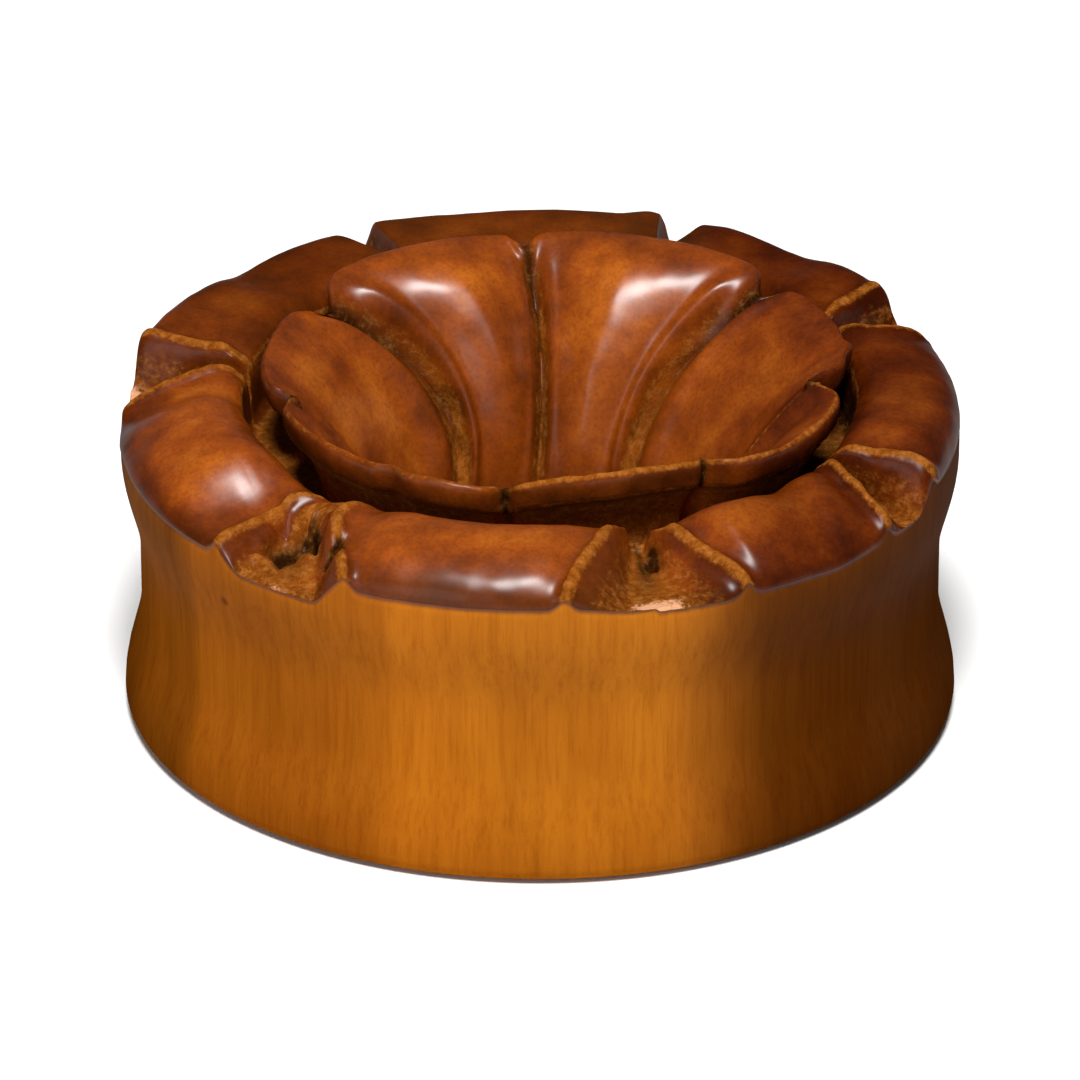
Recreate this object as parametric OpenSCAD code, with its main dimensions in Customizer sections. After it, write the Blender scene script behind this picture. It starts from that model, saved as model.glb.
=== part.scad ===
// Carved wooden ear plug. It is turned and carved from one block: a double-flared barrel
// with a bore through it, and a front face carved as a flower. A ring of seven outer petals
// stands up from the rim with a notch between each two of them, an undercut groove parts it
// from the ring of seven inner petals, and those run down as a trumpet to the bore. The plug
// lies on its flat back face.
// The row's +Z points from the back face to the flower. All lengths are in millimetres.

/* [Barrel] */
// Diameter at the waist, where the ear lobe sits
gauge_d = 38; // [36:0.5:44]
// How far each flare stands out from the waist
flare = 0.85; // [0.5:0.05:1.2]
// Height of the back flare's widest line
back_flare_z = 0.8; // [0.5:0.1:1.2]
// Width of the wearing groove, from the back flare's widest line to the front flare's
wear_w = 12.3; // [11:0.1:14]

/* [Bore] */
// Radius of the straight bore
bore_r = 5.4; // [4.6:0.1:6]
// Height at which the bore opens into the trumpet
bore_h = 3.5; // [2.5:0.1:4.5]

/* [Flower] */
// How far the flower's middle lies to the right of the bore's axis
flower_right = 0.45; // [0:0.05:0.6]
// How far the flower's middle lies behind the bore's axis
flower_back = 0.6; // [0:0.05:0.7]

/* [Inner petals] */
// Radius of the inner petals' lip, before each petal's own reach
lip_r = 13.6; // [13.2:0.1:13.7]
// Height of the lip above the front flare
lip_rise = 3.8; // [3.4:0.1:4.2]
// Thickness of the lip
lip_t = 1.4; // [1:0.05:1.5]
// How far the lip's rounded edge stands out
lip_round = 0.22; // [0.1:0.02:0.3]
// How far an inner petal swells between its seams
inner_bulge = 1.5; // [0.8:0.1:1.7]
// Depth of the seam between two inner petals
seam_depth = 0.6; // [0.3:0.05:0.8]
// Half the width of an open seam at the lip
seam_half = 1; // [0.7:0.05:1.2]
// Height of the rib beside an open seam
rib_h = 0.6; // [0.3:0.05:0.8]
// How far the lip draws back at a seam
lip_scallop = 1; // [0.6:0.1:1.3]
// How far the lip dips at a seam
lip_dip = 0.5; // [0.2:0.05:0.7]

/* [Groove] */
// Depth of the groove's floor below the front flare
groove_drop = 0.8; // [0.5:0.1:1.1]
// How far the groove goes in under the lip
undercut = 1.3; // [0.8:0.1:1.5]
// Radius of the groove's outer wall, at the foot of the outer petals
groove_out_r = 14.4; // [14.3:0.1:14.6]

/* [Outer petals] */
// Height of an outer petal's crest above the front flare
crest_rise = 3.2; // [2.8:0.1:3.6]
// How far a rolled petal comes down at the rim
roll_h = 2; // [1.4:0.1:2.2]
// How far a wide notch opens to either side between its root and the rim, in degrees
notch_half = 9; // [6:0.5:10]
// Height of the ridge along the edge of an outer petal's low end
edge_lip = 0.5; // [0.2:0.05:0.6]

/* [Hidden] */

waist_r = gauge_d / 2;
rim_r = waist_r + flare;
front_flare_z = back_flare_z + wear_w;
waist_z = (back_flare_z + front_flare_z) / 2;
lip_z = front_flare_z + lip_rise;
groove_z = front_flare_z - groove_drop;
crest_h = crest_rise + groove_drop;

// The carved crown is let into the barrel's cup: the cup's wall, its top and its overlap with
// the crown, and the gap between the crown's skin and the barrel's.
cup_wall = 3.85;
cup_r = rim_r - cup_wall;
joint_drop = 1.6;
joint_z = front_flare_z - joint_drop;
overlap = 0.5;
joint_gap = 0.03;
barrel_fn = 180;
profile_steps = 18;
edge_steps = 5;
// Share of the way from a flare to the waist at which the saddle is down to the waist.
saddle_reach = 0.78;

// Outer petals, one row each, anticlockwise from the row's +X, each with the notch before it.
// columns:
//   notch: middle of the notch, in degrees
//   start: where it opens, as a share of the way out to the rim
//   root: half its opening at its root, in degrees
//   width: what the rim adds to that, as a share of notch_half
//   skew: how far its root lies round from its middle, in degrees
//   bed: share of its opening that is floor, before the walls rise
//   top, floor: height of its root and of its outer end, as shares of the crest
//   before, after: how far the petals on its two sides fall towards it, as shares of the crest
//   roll: how far the petal comes down at the rim, as a share of roll_h
//   lift: how much higher the whole petal is, as a share
OUTER_PETALS = [
    [ 26, 0.18, 1.2, 0.60,  0, 0.3, 0.10, 0.45, 0.08, 0.08, 0.50,  0.03],
    [ 69, 0.18, 0.9, 0.32,  0, 0.3, 0.10, 0.48, 0.00, 0.00, 0.42,  0.03],
    [118, 0.18, 0.9, 0.32,  0, 0.3, 0.10, 0.48, 0.00, 0.00, 0.50,  0.02],
    [170, 0.18, 1.2, 0.45,  0, 0.3, 0.10, 0.42, 0.14, 0.20, 1.30, -0.02],
    [232, 0.42, 5.0, 0.55, -4, 0.6, 0.74, 0.22, 0.50, 0.25, 1.05,  0.00],
    [286, 0.10, 2.6, 1.00,  0, 0.3, 0.38, 0.42, 0.20, 0.36, 1.25, -0.03],
    [331, 0.18, 1.0, 0.50,  0, 0.3, 0.10, 0.35, 0.30, 0.20, 0.90, -0.01]
];
NOTCH = 0;
START = 1;
ROOT = 2;
WIDTH = 3;
SKEW = 4;
BED = 5;
TOP = 6;
FLOOR = 7;
BEFORE = 8;
AFTER = 9;
ROLL = 10;
LIFT = 11;
petal_n = len(OUTER_PETALS);

// Inner petals, one behind each notch, each with the seam after it.
// columns:
//   seam: middle of the seam, in degrees
//   reach, tip: how far the lip reaches out and up at the petal's middle, as shares
//   seam_reach, seam_tip: the same at the seam
//   gape: half width of the seam at the lip, as a share of seam_half
//   rib: height of the ribs beside the seam, as a share of rib_h
//   swell: how far the petal swells, as a share of inner_bulge
//   sway: how far the seam bows aside on its way down, in degrees anticlockwise
INNER_PETALS = [
    [   40,  0.045,  0.02,  0.070,  0.00, 0.9, 0.80, 1.0,   17],
    [   95,  0.050,  0.09,  0.055,  0.05, 0.5, 0.20, 1.8,   -4],
    [  146,  0.040,  0.09,  0.050,  0.00, 1.2, 1.00, 1.8,  -25],
    [  192, -0.010,  0.00, -0.037, -0.06, 0.5, 0.50, 0.7, -1.0],
    [  260, -0.030, -0.02, -0.070, -0.12, 0.5, 0.50, 0.4,  0.8],
    [  306, -0.095,  0.04, -0.080, -0.04, 0.3, 0.50, 0.3, -1.5],
    [  356,  0.030,  0.00, -0.010, -0.06, 0.4, 0.25, 0.5,  1.2]
];
SEAM = 0;
REACH = 1;
TIP = 2;
SEAM_REACH = 3;
SEAM_TIP = 4;
GAPE = 5;
RIB = 6;
SWELL = 7;
SWAY = 8;

// Waves along the outer petals' crests. columns: angle, half width, lift as a share
WAVES = [
    [39, 5, 0.03], [50, 6, -0.08], [62, 4, 0.03], [74, 3, 0.07], [114, 3, 0.03], [138, 6, -0.10],
    [181, 4, -0.14], [206, 14, 0.04], [303, 5, 0.03], [314, 4, -0.10], [324, 4, 0.02]
];

// Section of an outer petal from its foot in the groove to the rim, before it is rolled.
// columns: share of the way out to the rim, share of the crest
OUTER_SECTION = [
    [0.000, 0.00], [0.018, 0.58], [0.045, 0.80], [0.14, 0.915], [0.32, 1], [0.45, 1], [0.56, 1],
    [0.66, 1], [0.75, 1], [0.83, 1], [0.90, 1], [0.95, 1], [0.985, 1], [1, 1]
];
OUT = 0;
UP = 1;
// Section of the trumpet from the bore to the lip: shares of its height.
TRUMPET_SECTION = [0, 0.16, 0.32, 0.46, 0.58, 0.68, 0.77, 0.85, 0.91, 0.95, 0.98, 1];
// The lip's edge. columns: share of lip_round, share of lip_t
LIP_SECTION = [[0.7, 0.07], [1.0, 0.30], [0.4, 0.85]];
// The underside of the lip. columns: share of the undercut, share of the drop to the floor
UNDER_SECTION = [[0.30, 0.40], [0.66, 0.55], [0.91, 0.76], [1, 1]];
// The crown's wall from the petals' rim down into the cup: shares of the drop.
WALL_SECTION = [0.3, 0.55, 0.8, 1];

// Each half petal, from a notch to the next seam or from a seam to the next notch, has the
// same number of columns, and some of them lie in the notch.
half_steps = 9;
column_n = 2 * petal_n * half_steps;
notch_share = 3 / half_steps;
seam_cluster = 1.35;
petal_spread = 1.15;

// The trumpet's curve, its slope at the bore and at the lip, the share of a petal's swell that
// is left at the lip, and where its relief grows.
trumpet_power = 1.45;
bore_slope = 3.2;
lip_slope = 0.8;
swell_left = 0.4;
swell_top = 0.84;
swell_spread = 1.6;
relief_start = 0.1;
relief_foot = 0.45;
relief_top = 0.9;
seam_foot_half = 0.28;
rib_at = 0.6;
rib_half = 0.3;
rib_spread = 0.6;
seam_notch = 8;
scallop_round = 0.3;
scallop_gape = 1.4;
seam_blend = 3;

// How a petal's roll starts, and how square it is where it rolls least and most.
roll_start = 0.55;
roll_square = 3.5;
roll_round = 1.5;
roll_full = 1.3;
// How the petals fall towards a notch, the ridge along the edge there and the notch's foot.
fall_hold = 0.4;
fall_from = 0.1;
fall_span = 0.4;
fall_in = 0.5;
fall_inner = 0.3;
edge_at = 0.4;
edge_half = 0.42;
edge_in = 0.3;
edge_end = 0.2;
edge_top = 1.2;
notch_spread = 0.8;
notch_root_depth = 0.8;
notch_out = 0.25;
notch_hollow = 0.4;
petal_in = 0.05;

function mix(a, b, t) = a + (b - a) * t;
function clamp01(t) = min(1, max(0, t));
function smooth(t) = clamp01(t) * clamp01(t) * (3 - 2 * clamp01(t));
function bell(x, width) = exp(-pow(x / width, 2));
function degrees_to_mm(a, r) = a * PI / 180 * r;

// A column is one of the radial lines of the carving.
function half_of(c) = floor(c / half_steps);
function petal_of(c) = floor(half_of(c) / 2);
function rising(c) = half_of(c) % 2 == 0;
// Share of the way from the notch, 0, to the seam, 1.
function way(c) = rising(c) ? (c % half_steps) / half_steps : 1 - (c % half_steps) / half_steps;
function notch_of(c) = rising(c) ? petal_of(c) : (petal_of(c) + 1) % petal_n;
function at_notch(c, k) = OUTER_PETALS[notch_of(c)][k];
function of_outer(c, k) = OUTER_PETALS[petal_of(c)][k];
function at_middle(c, k) = INNER_PETALS[notch_of(c)][k];
function at_seam(c, k) = INNER_PETALS[petal_of(c)][k];
function notch_angle(c) = at_notch(c, NOTCH) + (!rising(c) && petal_of(c) == petal_n - 1 ? 360 : 0);
function span(c) = abs(at_seam(c, SEAM) - notch_angle(c));
function turn(c) = rising(c) ? 1 : -1;

// Degrees from the notch's middle, on the inner petals and on the outer petals.
function inner_offset(c) = span(c) * (1 - pow(1 - way(c), seam_cluster));
// 0 where the notch starts to open, 1 at the rim.
function outward(c, r) =
    let (start = mix(groove_out_r, rim_r, at_notch(c, START))) clamp01((r - start) / (rim_r - start));
function notch_open(c, r) = at_notch(c, ROOT)
    + notch_half * at_notch(c, WIDTH) * pow(outward(c, r), notch_spread);
function share_of(c, r, offset) = clamp01((offset - notch_open(c, r)) / (span(c) - notch_open(c, r)));
function outer_offset(c, r) = way(c) < notch_share
    ? way(c) / notch_share * notch_open(c, r)
    : mix(notch_open(c, r), span(c), pow((way(c) - notch_share) / (1 - notch_share), petal_spread));
function angle_at(c, offset) = notch_angle(c) + turn(c) * offset;

// A point from radius, height and angle. The shift is the share of the flower's own shift.
function point_at(r, z, a, shift = 0) =
    [r * cos(a) + flower_right * shift, r * sin(a) + flower_back * shift, z];

// Inner petals. Across a petal is 0 at its middle and 1 at its seam.
function across(c) = inner_offset(c) / span(c);
function seam_gap(c, r) = degrees_to_mm(span(c) - inner_offset(c), r);
function gape(c) = seam_half * at_seam(c, GAPE);
function seam_share(c) = at_seam(c, GAPE) * bell(seam_gap(c, lip_r), gape(c));
function petal_blend(c, middle, seam) = mix(at_middle(c, middle), at_seam(c, seam), pow(across(c), seam_blend));
function lip_radius(c) = lip_r * (1 + petal_blend(c, REACH, SEAM_REACH))
    - lip_scallop * (scallop_round * pow(across(c), seam_notch) + scallop_gape * seam_share(c));
function lip_height(c) = groove_z + (lip_z - groove_z) * (1 + petal_blend(c, TIP, SEAM_TIP))
    - lip_dip * seam_share(c);
function swell(c) = inner_bulge * at_middle(c, SWELL) * (1 - pow(across(c), swell_spread));
function relief(c, u, r) =
    let (
        gap = seam_gap(c, r),
        width = mix(seam_foot_half, gape(c), pow(u, 3)),
        rib = at_seam(c, RIB) * rib_h,
        ribs = rib * bell(gap - width - rib_at, rib_half + rib_spread * rib),
        below_lip = 1 - smooth((u - relief_top) / (1 - relief_top)),
        swollen = smooth((u - relief_start) / (swell_top - relief_start)),
        near_lip = pow(max(0, (u - swell_top) / (1 - swell_top)), 2)
    )
    swell(c) * swollen * mix(1, swell_left, near_lip)
        + below_lip * smooth((u - relief_start) / (relief_foot - relief_start))
            * (ribs - seam_depth * bell(gap, width));
// A petal's middle goes round half as far as its two seams together.
function drift(c) = (at_middle(c, SWAY) + INNER_PETALS[(notch_of(c) + petal_n - 1) % petal_n][SWAY]) / 2;
function trumpet_point(c, u) =
    let (
        left = swell_left * swell(c),
        r = mix(bore_r + joint_gap, lip_radius(c) + left * sin(atan(lip_slope)), pow(u, trumpet_power)),
        z = mix(bore_h - overlap, lip_height(c) - left * cos(atan(lip_slope)), u),
        slope = atan(mix(bore_slope, lip_slope, u)),
        h = relief(c, u, r),
        sway = mix(drift(c), at_seam(c, SWAY), across(c)) * sin(180 * u)
    )
    point_at(r - h * sin(slope), z + h * cos(slope), angle_at(c, inner_offset(c)) + sway, smooth(u));
function lip_point(c, row) = point_at(
    lip_radius(c) + lip_round * row[OUT], lip_height(c) - lip_t * row[UP], angle_at(c, inner_offset(c)), 1
);
// Across the groove the columns pass from the inner petals' spacing to the outer petals'.
function under_point(c, k) =
    let (
        row = UNDER_SECTION[k],
        blend = (k + 1) / (len(UNDER_SECTION) + 1),
        offset = mix(inner_offset(c), outer_offset(c, groove_out_r), blend)
    )
    point_at(lip_radius(c) - undercut * row[OUT], mix(lip_height(c), groove_z, row[UP]), angle_at(c, offset), 1);

// Outer petals. Heights are shares of the crest's height above the groove.
function wave(a) = let (
    lifts = [for (w = WAVES) w[2] * bell((a - w[0] + 540) % 360 - 180, w[1])]
) lifts * [for (w = WAVES) 1];
function rolled(c, v) =
    let (
        roll = of_outer(c, ROLL),
        crest = 1 - roll_start * roll,
        power = mix(roll_square, roll_round, clamp01(roll / roll_full)),
        w = clamp01((v - crest) / (1 - crest))
    )
    roll * roll_h / crest_h * (1 - pow(1 - pow(w, power), 1 / power));
function end_of(c) = at_notch(c, rising(c) ? AFTER : BEFORE);
function petal_height(c, v, up, r, offset) =
    let (
        share = share_of(c, r, offset),
        hold = fall_hold * max(0, end_of(c) - fall_from),
        lift = 1 + of_outer(c, LIFT) + wave(angle_at(c, offset)) * smooth(v / petal_in),
        drop = end_of(c) * (1 - smooth((share - hold) / fall_span))
            * mix(fall_inner * smooth(v / petal_in), 1, smooth(v / fall_in)) * (1 - pow(v, 3)),
        edge = bell(degrees_to_mm(offset - notch_open(c, r), r) - edge_at, edge_half)
    )
    groove_z + crest_h * ((up - rolled(c, v)) * lift - drop)
        + edge_lip * edge * smooth(v / edge_in) * min(edge_top, end_of(c) / edge_end);
// 1 on the notch's floor, falling to 0 up its wall.
function in_notch(c, r, offset) =
    let (gap = notch_open(c, r), foot = at_notch(c, BED) * gap) 1 - smooth((offset - foot) / (gap - foot));
function notch_height(c, r) =
    let (hollow = at_notch(c, TOP) > at_notch(c, FLOOR) ? notch_hollow : 1)
    groove_z + crest_h * mix(at_notch(c, TOP), at_notch(c, FLOOR), pow(outward(c, r), hollow));
function outer_point(c, k) =
    let (
        v = OUTER_SECTION[k][OUT],
        r = mix(groove_out_r, rim_r, v),
        offset = outer_offset(c, r),
        petal = petal_height(c, v, OUTER_SECTION[k][UP], r, offset),
        skew = at_notch(c, SKEW) * (1 - outward(c, r)) * pow(1 - share_of(c, r, offset), 2)
            * smooth(v / edge_in),
        depth = in_notch(c, r, offset) * smooth(v / petal_in)
            * mix(notch_root_depth, 1, smooth(outward(c, r) / notch_out))
    )
    point_at(r, mix(petal, min(petal, notch_height(c, r)), depth), angle_at(c, offset) + skew, 1 - v);

// Radius of the barrel's saddle at height z: an S-curve from each flare to the waist.
function saddle_r(z) =
    let (from_flare = z < waist_z ? z - back_flare_z : front_flare_z - z)
    waist_r + flare * (0.5 + 0.5 * cos(180 * clamp01(from_flare / (saddle_reach * wear_w / 2))));
function wall_point(c, t) =
    let (z = mix(outer_point(c, len(OUTER_SECTION) - 1).z, joint_z - overlap, t))
    point_at(saddle_r(z) - joint_gap, z, angle_at(c, outer_offset(c, rim_r)));

// The rings of the crown's skin, from the trumpet's foot, over the lip, the groove and the
// outer petals, to the rim, and then down into the cup and back to the trumpet's foot.
COLUMNS = [0:column_n - 1];
RINGS = concat(
    [for (u = TRUMPET_SECTION) [for (c = COLUMNS) trumpet_point(c, u)]],
    [for (row = LIP_SECTION) [for (c = COLUMNS) lip_point(c, row)]],
    [for (k = [0:len(UNDER_SECTION) - 1]) [for (c = COLUMNS) under_point(c, k)]],
    [for (k = [0:len(OUTER_SECTION) - 1]) [for (c = COLUMNS) outer_point(c, k)]],
    [for (t = WALL_SECTION) [for (c = COLUMNS) wall_point(c, t)]],
    [for (z = [joint_z - overlap, bore_h - overlap]) [for (c = COLUMNS)
        point_at(cup_r + overlap, z, angle_at(c, inner_offset(c)))]]
);

module crown() {
    n = column_n;
    rings = len(RINGS);
    points = [for (ring = RINGS) for (p = ring) p];
    faces = [for (k = [0:rings - 1]) for (c = [0:n - 1])
        let (
            a = k * n + c,
            b = k * n + (c + 1) % n,
            d = ((k + 1) % rings) * n + c,
            e = ((k + 1) % rings) * n + (c + 1) % n
        )
        each [[a, b, e], [a, e, d]]];
    polyhedron(points, faces);
}

// Outline of the barrel's section, from the bore out along the back face, round its edge, up
// the saddle and back over the cup that holds the crown.
function barrel_outline() = concat(
    [[bore_r, 0], [rim_r - back_flare_z, 0]],
    [for (i = [1:edge_steps])
        let (a = 90 * i / edge_steps) [rim_r - back_flare_z * (1 - sin(a)), back_flare_z * (1 - cos(a))]],
    [for (i = [1:profile_steps])
        let (z = mix(back_flare_z, joint_z, i / profile_steps)) [saddle_r(z), z]],
    [[cup_r, joint_z], [cup_r, bore_h], [bore_r, bore_h]]
);

module barrel() {
    rotate_extrude($fn = barrel_fn) polygon(barrel_outline());
}

module ear_plug() {
    color([0.5, 0.24, 0.09]) {
        barrel();
        crown();
    }
}

ear_plug();
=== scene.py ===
"""Carved wooden ear plug: a double-flared barrel whose front face is carved as a flower.

The plug is one piece of wood. It is modelled as a turned blank, a ring of radial lines and
rows, and carved row by row: trumpet, lip, undercut groove, outer petals, saddle and back.
Lengths in the carving are in millimetres; every object is in metres."""

import math

import bpy
import numpy as np
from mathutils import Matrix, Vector, noise


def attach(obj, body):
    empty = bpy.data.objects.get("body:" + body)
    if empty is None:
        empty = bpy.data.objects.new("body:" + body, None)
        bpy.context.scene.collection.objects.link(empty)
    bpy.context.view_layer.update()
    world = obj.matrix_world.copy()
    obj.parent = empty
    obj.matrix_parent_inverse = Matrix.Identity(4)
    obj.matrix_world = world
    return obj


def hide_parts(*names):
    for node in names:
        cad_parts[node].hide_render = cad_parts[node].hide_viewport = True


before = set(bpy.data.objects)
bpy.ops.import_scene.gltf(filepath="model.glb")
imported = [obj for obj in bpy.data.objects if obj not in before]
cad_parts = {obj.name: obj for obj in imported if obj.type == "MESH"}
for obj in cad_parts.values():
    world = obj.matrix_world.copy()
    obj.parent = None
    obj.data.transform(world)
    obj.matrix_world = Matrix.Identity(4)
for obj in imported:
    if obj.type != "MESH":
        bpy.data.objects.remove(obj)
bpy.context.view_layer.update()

MM = 0.001

# Barrel
WAIST_R = 19.0
FLARE = 0.85
RIM_R = WAIST_R + FLARE
BACK_FLARE_Z = 0.8
FRONT_FLARE_Z = 13.1
WAIST_Z = (BACK_FLARE_Z + FRONT_FLARE_Z) / 2
# Share of the way from a flare to the waist at which the saddle is down to the waist
SADDLE_REACH = 0.78
# Crease under the petals' rim, and how far down the barrel the carved finish runs
CREASE = 0.12
CREASE_H = 0.4
CARVED_H = 0.25

# Bore and trumpet
BORE_R = 5.4
BORE_H = 3.5
BORE_BEVEL = 0.3
TRUMPET_POWER = 1.45
BORE_SLOPE = 3.2
LIP_SLOPE = 0.8

# Inner petals
LIP_R = 13.6
LIP_Z = 16.9
# Power with which the lip passes from a petal's middle to its seam
LIP_SPREAD = 3
LIP_DIP = 0.5
LIP_SCALLOP = 1.0
SCALLOP_ROUND = 0.3
SCALLOP_POWER = 8
SCALLOP_GAPE = 1.4
# A petal's swell: its height, how it falls off sideways, where along the trumpet it is full
# and what share of it the lip keeps
INNER_BULGE = 1.5
SWELL_SPREAD = 1.6
BULGE_PLACE = 0.84
BULGE_LEFT = 0.4
# A seam: its depth, its half width at the trumpet's foot and how late it opens to its gape
SEAM_DEPTH = 0.6
SEAM_FOOT = 0.28
SEAM_POWER = 3
# The ribs beside a seam: how far from its edge, and half width, flat and for each millimetre
# of their height
RIB_GAP = 0.6
RIB_HALF = 0.3
RIB_SPREAD = 0.6
# Shares of the trumpet's height: where seams and ribs start, over which length they grow, and
# from where and over which length they fade
RELIEF_START = 0.1
RELIEF_GROWTH = 0.35
RELIEF_FADE = (0.9, 0.1)
# Raw wood beside a seam: its strength at the foot and at the lip, its place in half widths of
# the seam and its own half width. Then the start and length of raw wood at the lip's edge
SEAM_RAW = (1.5, 0.5)
SEAM_RAW_AT = 0.7
SEAM_RAW_HALF = 0.4
LIP_RAW = (0.985, 0.015)
# How dark a seam is at the foot and at the lip, painted shade in its valley, and how pale at the
# foot
SEAM_DARK = (0.1, 0.85)
SEAM_PALE = 0.5
# Starts and lengths along the trumpet: where the bowl's painted shade ends, where the swell's
# painted light starts and where it fades again, and by how much
BOWL_SHADE_END = (0.25, 0.5)
GLOW_START = (0.15, 0.35)
GLOW_END = (0.85, 0.15)
GLOW_LOSS = 0.5
# How far painted shade darkens the inner petals
INNER_SHADE = 0.3
# The lip's outer face: how wide the painted shade in its seams is, as a share of their gape,
# and how much painted shade the face gets towards its foot
LIP_SEAM = 0.6
LIP_DARK = 0.5

# Groove
GROOVE_Z = 12.3
UNDERCUT = 1.3
GROOVE_OUT_R = 14.4
# Its painted shade: least, round which angle it is darkest, over how many degrees, and how evenly
GROOVE_SHADE_LEAST = 0.1
GROOVE_SHADE_MIDDLE = -12
GROOVE_SHADE_HALF = 34
GROOVE_SHADE_POWER = 0.6
# The lip's underside: its least share of that painted shade, the start and length of the drop over
# which the share grows, how raw it is, and how much painted light lightens it where not shaded
UNDER_SHADE = 0.5
UNDER_DROP = (0.4, 0.4)
UNDER_RAW = 0.7
UNDER_PAINTED_LIGHT = 0.3
# The groove's floor: its share of that painted shade, and its painted light where not shaded
GROOVE_FLOOR_SHADE = 0.8
GROOVE_PAINTED_LIGHT = 0.35

# Outer petals
CREST_Z = 16.3
CREST_H = CREST_Z - GROOVE_Z
# How far a petal rolls down at the rim, over which share of its width, and how round the roll
# is where it is slight and where it is full
ROLL_H = 2.0
ROLL_REACH = 0.55
ROLL_SQUARE = 3.5
ROLL_ROUND = 1.5
ROLL_FULL = 1.3
# Shares of the way out: where a petal has risen from its foot, and where its edge has formed
FOOT_REACH = 0.05
EDGE_IN = 0.3
# How a petal falls towards a notch: over which share of its length, from which depth its end
# stays down, how far its foot falls with it, by which share of the way out the fall is full,
# and how late the rim loses it again
FALL_SPREAD = 0.4
FALL_FROM = 0.1
FOOT_FALL = 0.3
FALL_FULL = 0.5
FALL_POWER = 3
# The ridge along a petal's cut edge: height, distance from the edge, half width, how much
# higher it can be, and the fall at which it has its full height
EDGE_LIP = 0.5
EDGE_AT = 0.4
EDGE_HALF = 0.42
EDGE_TOP = 1.2
EDGE_END = 0.2
# Notches: half their opening in degrees, how it grows outwards, how a high root falls to the
# floor, how deep the root is cut and at which share of the way out the cut is full
NOTCH_HALF = 9
NOTCH_FLARE = 0.8
NOTCH_HOLLOW = 0.4
NOTCH_ROOT_DEPTH = 0.8
NOTCH_OUT = 0.25
# Raw wood along a cut edge: strength, place and half width in millimetres, and the fall at
# which all of it shows
EDGE_RAW = 1.3
EDGE_RAW_AT = 0.35
EDGE_RAW_HALF = 0.34
EDGE_RAW_FALL = 0.1
# Raw wood along the petals' foot: strength, and place and half width as shares of the way out
FOOT_RAW = 0.8
FOOT_RAW_AT = 0.035
FOOT_RAW_HALF = 0.02
# Raw wood in a notch, and just inside its wall, over a share of the notch's opening
NOTCH_RAW = 0.85
WALL_RAW = 0.6
WALL_RAW_REACH = 0.3
# Painted shade in a notch: its half width, and what a wide bed adds to that, its strength on the
# walls, what the middle adds to that, what the rim loses, and the depth that shows all of it
NOTCH_DARK_HALF = 0.2
NOTCH_DARK_BED = 0.5
NOTCH_DARK = 0.3
NOTCH_DARK_MIDDLE = 0.5
NOTCH_DARK_LOSS = 0.7
NOTCH_DARK_DEPTH = 0.8
# The groove's painted shade runs up the petals' foot over this share of the way out.
SHADE_REACH = 0.03
# A pale chip in a notch: its half width as a share of the opening, and the start and length
# of the way out over which it shows
CHIP_HALF = 0.45
CHIP_OUT = (0.75, 0.2)
# Painted shade on the petals towards the back, which faces away from the light, and towards the
# right: how far the right counts against the back, the start and length in millimetres, and its
# strength on the right
BACK_TURN = 0.3
BACK_SHADE = (-9, 16)
RIGHT_SHADE = 0.7
# The same painted shade at the rim: the start and length as shares of the way out, and its strength
RIM_SHADE = (0.82, 0.18)
RIM_SHADE_SHARE = 0.85
# Painted light on the crests: how fast it grows from a notch, and its place and half width as
# shares of the way out
CREST_GLOW_GROWTH = 2.5
CREST_GLOW_AT = 0.45
CREST_GLOW_HALF = 0.35
# Start and length in millimetres, from the middle to the right, of the painted shade on the
# plug's right side
RIGHT_SHADE_SPAN = (6, 6)
# The carved flower's centre lies off the bore's axis, to the right and to the back
FLOWER_SHIFT = (0.45, 0.6)

# Outer petals, one row each, anticlockwise from +X, each with the notch before it.
# notch: middle of the notch, in degrees
# start: where it opens, as a share of the way out to the rim
# root and width: half its opening at its root, in degrees, and what the rim adds to that, as a
#   share of NOTCH_HALF
# skew: how far its root lies round from its middle, in degrees
# bed: share of its opening that is floor, before the walls rise
# top and floor: height of its root and of its outer end, as shares of the crest
# before and after: how far the petals on its two sides fall towards it, as shares of the crest
# roll and lift: how far the petal rolls down at the rim, and its height, as shares
# pale: how pale the notch is at the rim
OUTER_COLUMNS = (
    "notch", "start", "root", "width", "skew", "bed",
    "top", "floor", "before", "after", "roll", "lift", "pale",
)
OUTER_PETALS = (
    (26, 0.18, 1.2, 0.60, 0, 0.3, 0.10, 0.45, 0.08, 0.08, 0.50, 0.03, 0.2),
    (69, 0.18, 0.9, 0.32, 0, 0.3, 0.10, 0.48, 0.00, 0.00, 0.42, 0.03, 0.0),
    (118, 0.18, 0.9, 0.32, 0, 0.3, 0.10, 0.48, 0.00, 0.00, 0.50, 0.02, 0.0),
    (170, 0.18, 1.2, 0.45, 0, 0.3, 0.10, 0.42, 0.14, 0.20, 1.30, -0.02, 1.0),
    (232, 0.42, 5.0, 0.55, -4, 0.6, 0.74, 0.22, 0.50, 0.25, 1.05, 0.00, 0.5),
    (286, 0.10, 2.6, 1.00, 0, 0.3, 0.38, 0.42, 0.20, 0.36, 1.25, -0.03, 0.9),
    (331, 0.18, 1.0, 0.50, 0, 0.3, 0.10, 0.35, 0.30, 0.20, 0.90, -0.01, 0.1),
)
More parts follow.
